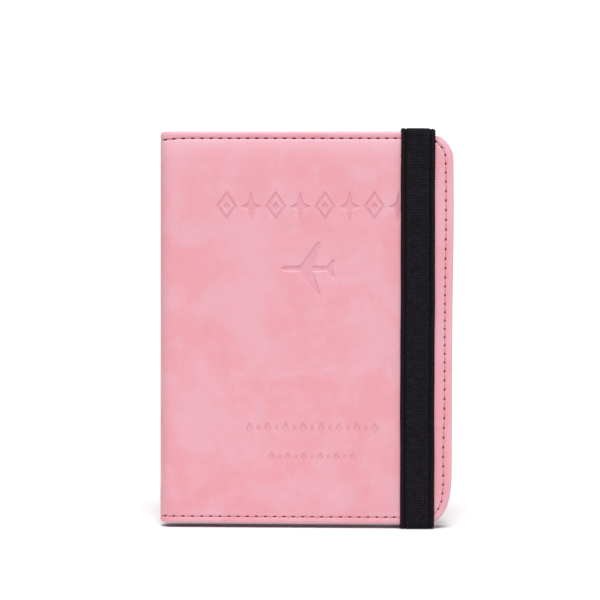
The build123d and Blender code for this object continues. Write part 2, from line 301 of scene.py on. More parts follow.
# ---------------- the seam's path round a cover
class SeamPath:
    """The open path from the middle of the spine along the top, the fore-edge and the bottom, and back.

    A place on it is given by the distance along the seam line and the distance in from the layer's edge."""

    def __init__(self, inset, layer_inset=0.0):
        """inset is from the layer's edge to the seam line, and layer_inset from the cover's edge to it."""
        self.inset, self.radius = inset, CORNER_RADIUS - layer_inset
        self.top, self.bottom = TOP - layer_inset, BOTTOM + layer_inset
        self.straight = LENGTH - layer_inset - self.radius
        self.corner = (self.radius - inset) * pi / 2
        side = self.top - self.bottom - 2 * self.radius
        self.total = 2 * (self.straight + self.corner) + side

    def place(self, along, edge):
        """Sheet coordinates s and z of places along the seam and in from the edge."""
        along, edge = np.broadcast_arrays(np.asarray(along, float), np.asarray(edge, float))
        mirrored = along > self.total / 2
        near = np.where(mirrored, self.total - along, along)
        angle = np.clip((near - self.straight) / (self.radius - self.inset), 0, pi / 2)
        reach = self.radius - edge
        past = np.maximum(near - self.straight - self.corner, 0)
        s = np.minimum(near, self.straight) + reach * np.sin(angle)
        z = self.top - self.radius + reach * np.cos(angle) - past
        return s, np.where(mirrored, self.top + self.bottom - z, z)


SEAM = SeamPath(SEAM_INSET)
PITCH = SEAM.total / STITCHES


def seam_run(count):
    """The distance along the seam after this many stitches. A sewn row's pitch wanders a little."""
    share = count / STITCHES
    wander = 2.2 * np.sin(tau * 1.5 * share) ** 2 * np.sin(tau * share) + 0.55 * np.sin(tau * 5 * share)
    return SEAM.total * share + wander


def hole_length(along):
    """Half the length of a stitch's slot: long along the top, short down the fore-edge."""
    past_top = smooth_step((along - SEAM.straight) / SEAM.corner)
    at_bottom = smooth_step((along - SEAM.total + SEAM.straight + SEAM.corner) / SEAM.corner)
    return LONG_HOLE - 0.3 * past_top + 0.06 * at_bottom


def hole_nearness(count, edge):
    """1 in the middle of a needle hole. The holes are half a stitch off whole counts."""
    off = np.asarray(count) % 1 - 0.5
    line = SEAM_INSET + 0.07 * np.cos(tau * off)
    return hump(off * PITCH, hole_length(seam_run(count))) * hump(edge - line, HOLE_WIDTH)


def seam_relief(count, edge):
    """Depth of the leather near its edge: a sunk seam line with needle holes, and puckers between them."""
    off_line = edge - SEAM_INSET
    fade_start = 3.6
    fade = 1 - smooth_step((edge - fade_start) / (SEAM_END - fade_start))
    line = 0.2 * hump(off_line, 0.45) * fade
    hole = 0.5 * hole_nearness(count, edge)
    pucker = 0.06 * np.cos(tau * np.asarray(count)) * hump(off_line - 0.8, 0.5)
    s, _ = SEAM.place(seam_run(count), edge)
    return line + hole + pucker - padding(s, off_line)


def rim_depth(s):
    """Thickness of the cover's turned edge: less at the spine, which has no board in it."""
    share = smooth_step((s - PLATE_S + 4) / 4)
    soft = SKIN + LINING + 0.1
    return soft + (COVER_DEPTH - soft) * share


def beside_band(s):
    """1 away from the elastic, and near 0 where it presses the padding flat."""
    return 0.1 + 0.9 * smooth_step((np.abs(s - plate_s(BAND_X)) - BAND_HALF - 0.5) / 2.5)


def at_spine(s):
    """1 on the spine, which is as full at its ends as between them, and 0 on the flat cover."""
    return 1 - smooth_step((np.abs(s) - 3) / 5)


def padding(s, past_seam):
    """How far the leather stands proud: it rises from the seam over the first centimetre."""
    rise = 1 - np.exp(-np.maximum(past_seam, 0) / PILLOW_RISE)
    return PILLOW * np.maximum(rise, at_spine(s)) * beside_band(s)


def edge_distance(s, z):
    return np.minimum(np.minimum(TOP - z, z - BOTTOM), LENGTH - s)


def swell(s, z):
    """Depth of the padded face."""
    return -padding(s, edge_distance(s, z) - SEAM_INSET)


def waviness(s, z, side):
    """Slight unevenness of soft leather over its board, in millimetres of depth."""
    far = smooth_step((s - PLATE_S) / 12)
    lines = (
        0.05 * np.sin(s / 9.1 + z / 17.3 + side.sign) * np.sin(z / 12.7 - s / 21.0)
        + 0.035 * np.sin(s / 5.3 - z / 8.9 + 2.1 * side.sign)
        + 0.02 * np.sin(z / 4.1 + s / 6.7)
    )
    return far * lines


def painted_highlight(s, z):
    """Painted highlight: a paler, whiter tint that stands in for the sheen below the top seam, the light from
    the floor above the bottom one, and the sheen on the rims.
    """
    below_top, above_bottom = TOP - z - SEAM_INSET, z - BOTTOM - SEAM_INSET
    top = 0.62 * np.exp(-np.abs(below_top - 0.8) / 6.0) * (below_top > 0)
    bottom = 0.35 * np.exp(-np.abs(above_bottom - 0.6) / 1.5) * (above_bottom > 0)
    rim = 0.5 * (1 - smooth_step((edge_distance(s, z) - 0.3) / 1.2))
    return np.maximum(np.maximum(top, bottom), rim)


# ---------------- pressed ornament on the front
ORNAMENT_X = 2.2  # the middle of the ornament, across the cover
PRESSED = 0.38  # depth of its large figures
Pressing = namedtuple("Pressing", "loops depth wall step")


def lozenge(x, z, half_width, half_height):
    return np.array([(x + half_width, z), (x, z + half_height), (x - half_width, z), (x, z - half_height)])


def star(x, z, half_width, half_height):
    """A four-pointed star."""
    waist = 0.26
    angles = np.arange(8) * pi / 4
    reach = np.where(np.arange(8) % 2 == 0, 1, waist * 2**0.5)
    return np.stack([x + half_width * reach * np.cos(angles), z + half_height * reach * np.sin(angles)], -1)


def frieze(z):
    """A row of eight large figures, alternately framed lozenges and stars."""
    loops = []
    for index in range(8):
        x = ORNAMENT_X + (index - 3.5) * 8.8
        if index % 2:
            loops.append(star(x, z, 3.5, 5.3))
        else:
            loops += [lozenge(x, z, 3.7, 5.4), lozenge(x, z, 2.5, 3.6), lozenge(x, z, 1.1, 1.6)]
    return loops


def aeroplane(x, z):
    """A plain aeroplane seen from above, with its nose towards the spine."""
    half = [
        (-9.4, 0.0), (-8.9, 0.55), (-7.9, 0.8),  # nose
        (-2.4, 0.95), (3.3, 9.1), (4.0, 9.6), (4.6, 9.5), (4.7, 9.0), (2.0, 0.95),  # wing
        (7.1, 0.75), (8.9, 3.0), (9.6, 3.2), (9.8, 2.8), (9.0, 0.4), (9.1, 0.0),  # tail
    ]
    upper = np.array(half)
    lower = upper[-2:0:-1] * (1, -1)
    return np.concatenate([upper, lower]) + (x, z)


def beading(z, count, pitch, half_height):
    """A thin row of small lozenges with a bar between each pair."""
    loops = []
    for index in range(count):
        x = ORNAMENT_X + (index - (count - 1) / 2) * pitch
        small = index % 2
        loops.append(lozenge(x, z, pitch * (0.16 if small else 0.4), half_height * (0.6 if small else 1)))
    return loops


def ornament():
    """What is pressed into the front, from the top down: closed loops in x and z, the depth, the width of
    the sloping wall, and the step of the mesh that holds it."""
    return [
        Pressing(frieze(TOP - 26.95), PRESSED, 0.56, 0.15),
        Pressing([aeroplane(ORNAMENT_X - 1.9, TOP - 49.1)], PRESSED, 0.56, 0.15),
        Pressing(beading(BOTTOM + 34.6, 15, 3.2, 2.2), 0.3, 0.42, 0.14),
        Pressing(beading(BOTTOM + 24.4, 11, 2.9, 1.7), 0.28, 0.4, 0.14),
    ]


def pressed_depth(points, pressings):
    """Depth of the pressing at points given by x and z."""
    depth = np.zeros(len(points))
    for pressing in pressings:
        low, high = extent(pressing.loops)
        near = np.all((points > low - pressing.wall) & (points < high + pressing.wall), axis=1)
        distance, inside = outline_distance(points[near], pressing.loops)
        signed = np.where(inside, distance, -distance)
        depth[near] += pressing.depth * smooth_step(signed / pressing.wall + 0.5)
    return depth


# ---------------- cover leather
def roll_profile():
    """The rounded edge, from the inner face to the outer one: distance from the edge, share of its depth."""
    angles = np.linspace(-pi / 2, pi / 2, 9)
    return 0.95 * (1 - np.cos(angles)), 0.5 - 0.5 * np.sin(angles)


def finer_where_pressed(filling, pressings):
    """Replaces the filling's points round each pressing by closer ones along its outlines."""
    for pressing in pressings:
        loops = [loop + TO_SHEET for loop in pressing.loops]
        low, high = extent(loops)
        near = np.all((filling > low - 3) & (filling < high + 3), axis=1)
        middling = staggered_grid(low - 1, high + 1, 0.6)
        fine = staggered_grid(low - 1, high + 1, pressing.step)
        rings = [
            filling[near][outline_distance(filling[near], loops)[0] > 1.6],
            middling[np.abs(outline_distance(middling, loops)[0] - 0.75) < 0.3],
            fine[outline_distance(fine, loops)[0] < 0.36],
        ]
        filling = np.concatenate([filling[~near], *rings])
    return filling


def shell(side, rows, face_depth, pressings=(), grid=1.7, facing=1):
    """A sheet that covers half of the holder: one cover, and the spine up to its middle.

    rows are the rings of points round its edge, as arrays of s, z and w, from the far face round to the
    seen one. Inside the last ring the seen face has the given depth. Returns sheet points and faces."""
    width = len(rows[0][0])
    sheet = [np.stack(np.broadcast_arrays(*row), -1) for row in rows]
    numbers = np.arange(len(rows) * width).reshape(-1, width)
    faces = grid_faces(numbers)

    # The spine and its fold: a regular grid between the last ring's top and bottom columns.
    ring = sheet[-1]
    columns = int(np.argmax(ring[:, 0] > PLATE_S + 1.5))
    heights = np.linspace(ring[0, 1], ring[-1, 1], FOLD_ROWS + 2)[1:-1]
    fold_s, fold_z = np.meshgrid(ring[: columns + 1, 0], heights)
    sheet.append(np.stack([fold_s, fold_z, face_depth(fold_s, fold_z)], -1).reshape(-1, 3))
    between = numbers.size + np.arange(fold_s.size).reshape(fold_s.shape)
    fold = np.vstack([numbers[-1, : columns + 1], between, numbers[-1, : -columns - 2 : -1]])
    faces += grid_faces(fold)

    # The flat of the cover: triangles between the ring and the fold, finer where it is pressed.
    border = numbers[-1, columns : width - columns].tolist() + fold[-2:0:-1, columns].tolist()
    stacked = np.concatenate(sheet)
    loop = stacked[border, :2]
    filling = staggered_grid(loop.min(0) + 1.2, loop.max(0) - 1.2, grid)
    filling = finer_where_pressed(filling, pressings)
    filling = filling[inside_loop(filling, loop[::4], 0.7)]
    flat, triangles = triangulate(loop, filling)
    flat_w = face_depth(*flat.T) + pressed_depth(flat - TO_SHEET, pressings)
    sheet.append(np.column_stack([flat, flat_w])[len(border):])
    number = np.append(border, len(stacked) + np.arange(len(sheet[-1])))
    faces += [number[triangle[::-1]].tolist() for triangle in triangles]

    # The far face, and the cut across the middle of the spine.
    faces += [(i + 1, i, width - 1 - i, width - 2 - i) for i in range(columns)]
    faces.append(list(range(width - 1 - columns, columns - 1, -1)))
    faces.append(np.concatenate([numbers[:, 0], between[:, 0], numbers[::-1, -1]]).tolist())
    if (side is FRONT) == (facing > 0):
        faces = [face[::-1] for face in faces]
    return np.concatenate(sheet), faces


def half_holder(name, side, sheet, faces, material):
    """The finished piece of a shell. Its pattern runs on across the middle of the spine."""
    place = np.column_stack([sheet[:, 0] * side.sign, sheet[:, 2], sheet[:, 1]])
    return make_piece(name, wrap(side, *sheet.T), faces, material, place)


def cover_leather(side, material, pressings=()):
    """Half of the outer leather, with its edges turned in."""
    counts = np.linspace(0, STITCHES, STITCHES * SAMPLES + 1)
    columns = seam_run(counts)
    roll_edge, roll_share = roll_profile()
    near_seam = SEAM_INSET + np.linspace(-0.48, 0.48, 9)
    edges = np.concatenate([np.linspace(1.2, 1.95, 4), near_seam, np.linspace(3.3, SEAM_END, 6)])

    s, z = SEAM.place(columns, HEM)
    rows = [(s, z, SKIN), (s, z, rim_depth(s))]
    hole_shade = [np.zeros(len(columns))] * (2 + len(roll_edge))
    for edge, share in zip(roll_edge, roll_share):
        s, z = SEAM.place(columns, edge)
        rows.append((s, z, rim_depth(s) * share - PILLOW * at_spine(s) * (1 - share)))
    for edge in edges:
        s, z = SEAM.place(columns, edge)
        fade = smooth_step((edge - 1.2) / (SEAM_END - 1.2))
        rows.append((s, z, seam_relief(counts, edge) + fade * waviness(s, z, side)))
        # nearness to the needle holes, kept for the painted shade in them
        hole_shade.append(hole_nearness(counts, edge))

    def face_depth(s, z):
        return swell(s, z) + waviness(s, z, side)

    sheet, faces = shell(side, rows, face_depth, pressings)
    piece = half_holder(f"{side.name}_leather", side, sheet, faces, material)
    # painted shade: how much dark maroon is painted in and round each needle hole
    add_share(piece, "hole", np.pad(np.concatenate(hole_shade), (0, len(sheet) - len(hole_shade) * len(columns))))
    # painted highlight: sheen and floor light stored as a paler tint of the leather
    add_share(piece, "painted_highlight_share", painted_highlight(sheet[:, 0], sheet[:, 1]))
    pressed = pressed_depth(sheet[:, :2] - TO_SHEET, pressings)
    add_share(piece, "pressed", np.minimum(pressed / PRESSED, 1))
    return piece


# ---------------- linings and pockets
def lining_depth(s):
    """Outer side of the lining: on the board where the cover is flat, and on the leather round the spine."""
    return SKIN + (LINING_DEPTH - SKIN) * smooth_step((s - PLATE_S + 2.5) / 3)


def lining(side, material):
    path = SeamPath(1.5, LAYER_INSET)
    columns = np.linspace(0, path.total, 560)
    rows = []
    for edge, share in ((0.15, 0.0), (0.0, 0.4), (0.03, 0.7), (0.15, 1.0), (0.6, 1.0), (1.5, 1.0)):
        s, z = path.place(columns, edge)
        rows.append((s, z, lining_depth(s) + LINING * share))

    def face_depth(s, z):
        return lining_depth(s) + LINING + 0.6 * waviness(s + 40, z, side)

    sheet, faces = shell(side, rows, face_depth, grid=2.2, facing=-1)
    return half_holder(f"{side.name}_lining_cloth", side, sheet, faces, material)


Panel = namedtuple("Panel", "name side low high depth thick radii bow puff")


def ring_of(panel, inset):
    """A closed ring of a panel's outline, in x and z, this far in from its edge."""
    signs = np.array([(-1, -1), (1, -1), (1, 1), (-1, 1)])
    corners = np.where(signs < 0, panel.low, panel.high)
    arcs, points = [], []
    for index, radius in enumerate(panel.radii):
        reach = max(radius - inset, 0.03)  # never quite sharp
        centre = corners[index] - signs[index] * (inset + reach)
        angles = pi + index * pi / 2 + np.linspace(0, pi / 2, 7)
        arcs.append(centre + reach * np.stack([np.cos(angles), np.sin(angles)], -1))
    for index, arc in enumerate(arcs):
        following = (index + 1) % 4
        run = np.linalg.norm(corners[following] - corners[index])
        share = np.linspace(0, 1, int(run / 0.8) + 2)[1:-1, None]
        points += [arc, arc[-1] * (1 - share) + arcs[following][0] * share]
    return np.concatenate(points)


def bowed(panel, points):
    """Curves the panel's spine-side edge towards the fore-edge, most at mid-height."""
    middle, half = (panel.low[1] + panel.high[1]) / 2, (panel.high[1] - panel.low[1]) / 2
    share = (panel.high[0] - points[:, 0]) / (panel.high[0] - panel.low[0])
    bow = panel.bow * (1 - ((points[:, 1] - middle) / half) ** 2)
    return points + np.stack([bow * share, np.zeros(len(points))], -1)


def soft_panel(panel, material):
    """A thin leather panel with rounded edges, a sunk seam line and a little fullness."""
    outer = panel.depth + panel.thick
    profile = [(0.12, 0.0), (0.02, 0.25), (0.0, 0.5), (0.03, 0.78), (0.12, 1.0)]
    seams = [(0.5, 0.02), (0.9, -0.02), (1.2, -0.07), (1.4, -0.1), (1.6, -0.07), (1.9, -0.02), (2.4, 0.02)]
    rings = [ring_of(panel, inset) for inset, _ in profile + seams]
    depths = [panel.depth + panel.thick * share for _, share in profile]
    depths += [outer + rise for _, rise in seams]
    count = len(rings[0])
    points = [np.column_stack([ring, np.full(count, depth)]) for ring, depth in zip(rings, depths)]
    faces = tube_faces(len(rings), count, capped=False)
    loop = rings[-1]
    filling = staggered_grid(loop.min(0) + 1, loop.max(0) - 1, 2.0)
    flat, triangles = triangulate(loop, filling[inside_loop(filling, loop[::2], 0.9)])
    distance, _ = outline_distance(flat, [loop[::2]])
    ripple = 0.04 * np.sin(flat[:, 0] / 4.7) * np.sin(flat[:, 1] / 5.9)
    rise = 0.02 + panel.puff * smooth_step(distance / 12) + ripple
    base = (len(rings) - 1) * count
    points.append(np.column_stack([flat, outer + rise * (distance > 0.01)])[count:])
    faces += [tuple(base + i for i in triangle) for triangle in triangles]
    faces.append(tuple(range(count))[::-1])
    points = np.concatenate(points)
    places = np.column_stack([bowed(panel, points[:, :2]), points[:, 2]])
    if panel.side is FRONT:
        faces = [face[::-1] for face in faces]
    made = wrap(panel.side, plate_s(places[:, 0]), places[:, 1], places[:, 2])
    return make_piece(panel.name, made, faces, material)


def panel_of(node, name, side, radii, thick, bow=0.0, puff=0.05):
    """A panel with the outline and the depth of a CAD node."""
    low, high = box_mm(node)
    depth = low[1] - side.face if side is FRONT else side.face - high[1]
    return Panel(name, side, low[[0, 2]], high[[0, 2]], depth, thick, radii, bow, puff)


def sewn_line(side, points, depth):
    """Stitches along a line in x and z on the inner side, where the surface is at the given depth."""
    points = np.array(points, float)
    total = distances_along(points)[-1]
    spots = points_at(np.linspace(0, total, round(total / TOPSTITCH_PITCH) + 1), points)
    spots[:, 0] = plate_s(spots[:, 0])
    return [stitch(a, b, side, depth - 0.25, depth + THREAD_PROUD) for a, b in zip(spots, spots[1:])]


def inner_stitches(side, panels, material):
    """The inner side of the outer seam: it lies on whichever panel is innermost."""
    def surface(spot):
        x, z = spot - TO_SHEET
        over = [p.depth + p.thick for p in panels if p.low[0] < x and p.low[1] < z < p.high[1]]
        rim = rim_depth(spot[0]) if spot[0] < PLATE_S else COVER_DEPTH
        return max(over, default=rim)

    spots = [seam_spot(index) for index in range(STITCHES)]
    depths = [surface(spot) for spot in spots]
    parts = [
        stitch(start, end, side, min(pair) - 0.3, max(pair) + THREAD_PROUD)
        for start, end, *pair in zip(spots, spots[1:], depths, depths[1:])
    ]
    return thread_piece(f"{side.name}_inner_thread", parts, material)


# ---------------- threads
def stitch(start, end, side, ends_w, middle_w, dive=1.0):
    """One stitch between two needle holes, in sheet coordinates: out of one hole and down into the next.

    Its ends and its middle lie at the depths given. A larger dive puts painted shade on less of its ends."""
    share = np.linspace(0, 1, STITCH_RINGS)
    arch = np.sin(pi * share)
    centre = np.outer(1 - share, start) + np.outer(share, end)
    depth = ends_w + (middle_w - ends_w) * arch
    along = (end - start) / np.linalg.norm(end - start)
    across = np.array([-along[1], along[0]])
    angles = np.arange(STITCH_SIDES) * tau / STITCH_SIDES
    ply = 1 + 0.13 * np.cos(2 * angles[None, :] - share[:, None] * 2.5 * pi)
    thick = THREAD_RADIUS * ply * (0.55 + 0.45 * arch**0.4)[:, None]
    s = centre[:, :1] + across[0] * thick * np.cos(angles)
    z = centre[:, 1:] + across[1] * thick * np.cos(angles)
    w = depth[:, None] + thick * np.sin(angles)
    points = wrap(side, s.ravel(), z.ravel(), w.ravel())
    # sunk: the share of painted shade on the thread, most at its ends in the needle holes
    sunk = np.repeat((1 - arch) ** dive, STITCH_SIDES)
    faces = tube_faces(STITCH_RINGS, STITCH_SIDES)
    if side is FRONT:
        faces = [face[::-1] for face in faces]
    return points, faces, sunk


def thread_piece(name, parts, material):
    piece = make_piece(name, *merged(parts), material)
    add_share(piece, "sunk", np.concatenate([sunk for _, _, sunk in parts]))
    return piece


def seam_spot(index):
    """The needle hole with this number, counted from the middle of the spine along the top."""
    return np.array(SEAM.place(seam_run(index + 0.5), SEAM_INSET))


def outer_stitches(side, material):
    """The thread seen outside. The stitches that cross the middle of the spine belong to the front."""
    spots = [seam_spot(index) for index in range(STITCHES)]
    dives = [(LONG_HOLE / hole_length(seam_run(index + 1.0))) ** 1.6 for index in range(STITCHES - 1)]
    if side is FRONT:
        spots = [spots[0] * (-1, 1)] + spots + [spots[-1] * (-1, 1)]
        dives = dives[:1] + dives + dives[-1:]
    parts = []
    for start, end, dive in zip(spots, spots[1:], dives):
        proud = PILLOW * at_spine((start[0] + end[0]) / 2)
        parts.append(stitch(start, end, side, 0.72 - proud, 0.16 - proud, dive=dive))
    return thread_piece(f"{side.name}_seam_thread", parts, material)


# ---------------- elastic
def rounded_line(corners, radius, step):
    """Evenly spaced points along a line whose corners are rounded, and their distances along it."""
    corners = [np.array(corner, float) for corner in corners]
    points = [corners[0]]
    for before, corner, after in zip(corners, corners[1:], corners[2:]):
        into = (corner - before) / np.linalg.norm(corner - before)
        out = (after - corner) / np.linalg.norm(after - corner)
        centre = corner + radius * (out - into)
        for turn in np.linspace(0, pi / 2, 24):
            points.append(centre - radius * out * cos(turn) + radius * into * sin(turn))
    points.append(corners[-1])
    points = np.array(points)
    total = distances_along(points)[-1]
    even = np.linspace(0, total, int(total / step) + 1)
    return points_at(even, points), even


def band_profile():
    """The band's cross-section: distance across, height above its middle plane, and share of the ribs."""
    inner = BAND_HALF - SELVEDGE
    margin = np.linspace(inner - 0.45, BAND_HALF - 0.15, 10)
    across = np.concatenate([-margin[::-1], np.linspace(-3.7, 3.7, 13), margin])
    crown = 0.07 * np.sin(pi * np.clip((np.abs(across) - inner) / SELVEDGE, 0, 1))
    groove = 0.28 * hump(np.abs(across) - inner, 0.28)
    edge = 0.22 * smooth_step((np.abs(across) - BAND_HALF + 0.5) / 0.4)
    height = 0.46 + crown - groove - edge
    side_x, side_h = BAND_HALF - np.array([0.03, 0.0, 0.03]), np.array([0.12, 0.0, -0.12])
    back = np.array([BAND_HALF - 0.15, 4.4, 2.0, -2.0, -4.4, 0.15 - BAND_HALF])
    x = np.concatenate([across, side_x, back, -side_x])
    height = np.concatenate([height, side_h, [-0.28, -0.44, -0.44, -0.44, -0.44, -0.28], -side_h])
    ribbed = np.concatenate([np.ones(len(across)), np.full(3, 0.3), np.zeros(6), np.full(3, 0.3)])
    return x, height, ribbed


def webbing(name, lines, material):
    """Ribbed elastic along lines given in y and z. Each line's outside is on its left as it is followed."""
    x, height, ribbed = band_profile()
    ring = len(x)
    selvedge = np.abs(x) > BAND_HALF - SELVEDGE
    parts, places, crests = [], [], []
    for line, along in lines:
        tangent = np.gradient(line, axis=0)
        tangent /= np.linalg.norm(tangent, axis=1)[:, None]
        normal = np.stack([-tangent[:, 1], tangent[:, 0]], -1)
        phase = along[:, None] / RIB_PITCH + 0.12 * np.sin(along[:, None] / 3.1 + x * 0.35)
        crest = np.where(selvedge, 0.6 * np.cos(tau * phase / 2 + x * 4), np.cos(tau * phase)) * ribbed
        lift = height + 0.08 * crest
        wander = 0.05 * np.sin(along / 11.0) + 0.03 * np.sin(along / 4.3 + 1)
        y = line[:, :1] + normal[:, :1] * lift
        z = line[:, 1:] + normal[:, 1:] * lift
        scallop = 1 + 0.008 * np.cos(tau * phase / 2) * selvedge
        points = np.stack([BAND_X + x * scallop + wander[:, None], y, z], -1)
        points[..., 2] += corner_droop(x, z)
        parts.append((points.reshape(-1, 3), tube_faces(len(line), ring)))
        places.append(np.stack([x + 0 * y, lift, along[:, None] + 0 * y], -1).reshape(-1, 3))
        crests.append((0.5 + 0.5 * crest).ravel())
    piece = make_piece(name, *merged(parts), material, np.concatenate(places))
    # the crest share also drives the painted shade between the ribs
    add_share(piece, "crest", np.concatenate(crests))
    return piece


def corner_droop(x, z):
    """How the band follows the cover's rounded corners at its fore-edge side: down at the top, up below."""
    past = np.maximum(BAND_X + x - (FORE_EDGE - CORNER_RADIUS), 0)
    rise = 0.65 * (CORNER_RADIUS - np.sqrt(CORNER_RADIUS**2 - past**2))
    fall = 0.85 * rise + 0.05 * smooth_step((BAND_X + x - 38.5) / 5)
    return -fall * smooth_step((z - TOP + 6) / 6) + rise * smooth_step((BOTTOM + 6 - z) / 6)


def elastic_run(material):
    corners = [(LIP_END, BOTTOM_LINE), (RUN_LINE, BOTTOM_LINE), (RUN_LINE, TOP_LINE), (LIP_END, TOP_LINE)]
    line = rounded_line(corners, BAND_BEND, RIB_PITCH / 4)
    return webbing("elastic_run", [line], material)


# ---------------- materials
def linear(*display):
    """A display colour, 0 to 255, as the linear colour that shaders use."""
    share = np.array(display) / 255
    return (*np.where(share <= 0.04045, share / 12.92, ((share + 0.055) / 1.055) ** 2.4), 1.0)


class Recipe:
    """A material being built. Most methods add a node and return its output."""

    def __init__(self, name):
        self.material = bpy.data.materials.new(name)
        self.material.use_nodes = True
        self.tree = self.material.node_tree
        self.shader = self.tree.nodes["Principled BSDF"]
        self.place = self.add("Attribute", {}, "Vector", attribute_name="place")

    def add(self, kind, inputs, output, **settings):
        made = self.tree.nodes.new("ShaderNode" + kind)
        for key, value in settings.items():
            setattr(made, key, value)
        for key, value in inputs.items():
            self.put(made.inputs[key], value)
        return made.outputs[output]

    def put(self, socket, value):
        if isinstance(value, bpy.types.NodeSocket):
            self.tree.links.new(value, socket)
        else:
            socket.default_value = value

    def stored(self, name):
        return self.add("Attribute", {}, "Fac", attribute_name=name)

    def stretched(self, *scale):
        return self.add("Mapping", {"Vector": self.place, "Scale": scale}, "Vector")

    def noise(self, size, detail=2.0, rough=0.5, twist=0.0, where=None):
        """Cloudy pattern with features of about this size, in millimetres."""
        inputs = {"Vector": where or self.place, "Scale": 1 / size, "Detail": detail,
                  "Roughness": rough, "Distortion": twist}
        return self.add("TexNoise", inputs, "Fac")

    def wave(self, axis, scale, distortion):
        """Stripes that follow each other along an axis."""
        inputs = {"Vector": self.place, "Scale": scale, "Distortion": distortion}
        return self.add("TexWave", inputs, "Fac", bands_direction=axis)

    def span(self, value, low, high, to_low=0.0, to_high=1.0):
        inputs = {"Value": value, "From Min": low, "From Max": high, "To Min": to_low, "To Max": to_high}
        return self.add("MapRange", inputs, "Result", interpolation_type="SMOOTHSTEP")

    def math(self, operation, first, second=0.0):
        return self.add("Math", {0: first, 1: second}, "Value", operation=operation)

    def mix(self, share, first, second):
        return self.add("Mix", {0: share, 6: first, 7: second}, 2, data_type="RGBA")

    def two_tone(self, value, low, high, first, second):
        """Starts the colour: the first where the value is low and the second where it is high."""
        self.colour = self.mix(self.span(value, low, high), linear(*first), linear(*second))

    def tint(self, value, low, high, share, towards):
        """Mixes this share of another colour in, more and more as the value goes from low to high."""
        self.colour = self.mix(self.span(value, low, high, 0, share), self.colour, linear(*towards))

    def use_object_place(self):
        """Patterns follow a CAD node's own places, in millimetres, as it has no stored ones."""
        place = self.add("TexCoord", {}, "Object")
        self.place = self.add("VectorMath", {0: place, "Scale": 1 / MM}, "Vector", operation="SCALE")

    def bump(self, height, distance, normal=None):
        inputs = {"Height": height, "Distance": distance * MM, "Strength": 1.0}
        if normal is not None:
            inputs["Normal"] = normal
        return self.add("Bump", inputs, "Normal")

    def finish(self, roughness, normal=None, **uniform):
        self.put(self.shader.inputs["Base Color"], self.colour)
        self.put(self.shader.inputs["Roughness"], roughness)
        if normal is not None:
            self.put(self.shader.inputs["Normal"], normal)
        for name, value in uniform.items():
            self.shader.inputs[name.replace("_", " ")].default_value = value
        return self.material


def cover_leather_material():
    """Soft, slightly brushed leather with a cloudy dye."""
    r = Recipe("cover_leather")
    clouds = r.noise(24, 3.0, 0.55, 0.7)
    patches = r.noise(9, 3.0, 0.6, 0.5)
    strokes = r.noise(3.2, 2.0, 0.6, 0.3, r.stretched(1.0, 1.0, 0.45))
    grain = r.noise(0.32, 3.0, 0.65)
    pores = r.noise(0.13, 2.0, 0.5)
    r.two_tone(clouds, 0.36, 0.66, (211, 145, 154), (211, 155, 167))
    r.tint(patches, 0.48, 0.75, 0.5, (212, 161, 178))
    r.tint(strokes, 0.5, 0.8, 0.3, (206, 136, 146))
    # painted highlight: paler, whiter leather below the top seam, above the bottom one and on the rims,
    # standing in for sheen and floor light
    r.tint(r.stored("painted_highlight_share"), 0, 1, 1, (219, 174, 186))
    r.tint(r.stored("pressed"), 0.2, 1, 0.35, (200, 132, 150))
    r.tint(grain, 0.3, 0.75, 0.16, (197, 124, 136))
    # painted shade: dark maroon in and round the needle holes, where shadow falls
    r.tint(r.stored("hole"), 0.18, 0.5, 1, (104, 16, 30))
    roughness = r.span(patches, 0.3, 0.75, 0.46, 0.38)
    normal = r.bump(grain, 0.05, r.bump(pores, 0.02))
    return r.finish(roughness, normal,
                    Sheen_Weight=0.1, Sheen_Roughness=0.4, Specular_IOR_Level=0.35)


def thread_material():
    """Matt twisted thread, with painted shade on its ends where it dives into a needle hole."""
    r = Recipe("pink_thread")
    fibres = r.noise(0.12, 2.0, 0.6)
    tone = r.noise(5, 1.0)
    r.two_tone(fibres, 0.3, 0.7, (190, 104, 120), (220, 146, 160))
    r.tint(tone, 0.3, 0.7, 0.3, (196, 112, 128))
    # painted shade: the thread's ends go dark maroon where they dive into the needle holes
    r.tint(r.stored("sunk"), 0.25, 0.5, 1, (104, 18, 32))
    roughness = r.span(fibres, 0.3, 0.7, 0.85, 0.6)
    return r.finish(roughness, r.bump(fibres, 0.03), Specular_IOR_Level=0.08)


def elastic_material():
    """Black woven elastic: fine yarns, with painted shade between its ribs, in its grooves and on its
    underside, and a painted dark red reflection of the pink leather along its selvedges.
    """
    r = Recipe("black_elastic")
    yarns = r.noise(0.3, 2.0, 0.6, 0.0, r.stretched(0.25, 1.0, 2.0))
    fuzz = r.noise(0.1, 2.0, 0.6)
    wear = r.noise(2.6, 2.0, 0.6)
    columns = r.wave("X", 0.286, 0.5)
    height = r.add("SeparateXYZ", {"Vector": r.place}, "Y")
    across = r.math("ABSOLUTE", r.add("SeparateXYZ", {"Vector": r.place}, "X"))
    r.two_tone(yarns, 0.3, 0.7, (14, 10, 17), (40, 35, 46))
    r.tint(wear, 0.42, 0.68, 0.6, (6, 5, 9))
    r.tint(columns, 0.35, 0.8, 0.6, (6, 5, 9))
    # painted shade: near black in the valleys between the ribs
    r.tint(r.stored("crest"), 0.8, 0.2, 0.95, (4, 3, 5))
    # painted reflection: dark red along the band's edges, for the pink leather beside it
    r.tint(across, 5.0, 5.6, 0.8, (32, 6, 13))
    r.tint(fuzz, 0.62, 0.8, 0.4, (52, 50, 60))
    # painted shade: near black where the band's surface lies low, in its grooves, at its edges and on its
    # underside
    r.tint(height, 0.42, 0.28, 0.97, (3, 2, 4))
    roughness = r.span(yarns, 0.3, 0.7, 0.85, 0.65)
    return r.finish(roughness, r.bump(yarns, 0.06), Specular_IOR_Level=0.12)


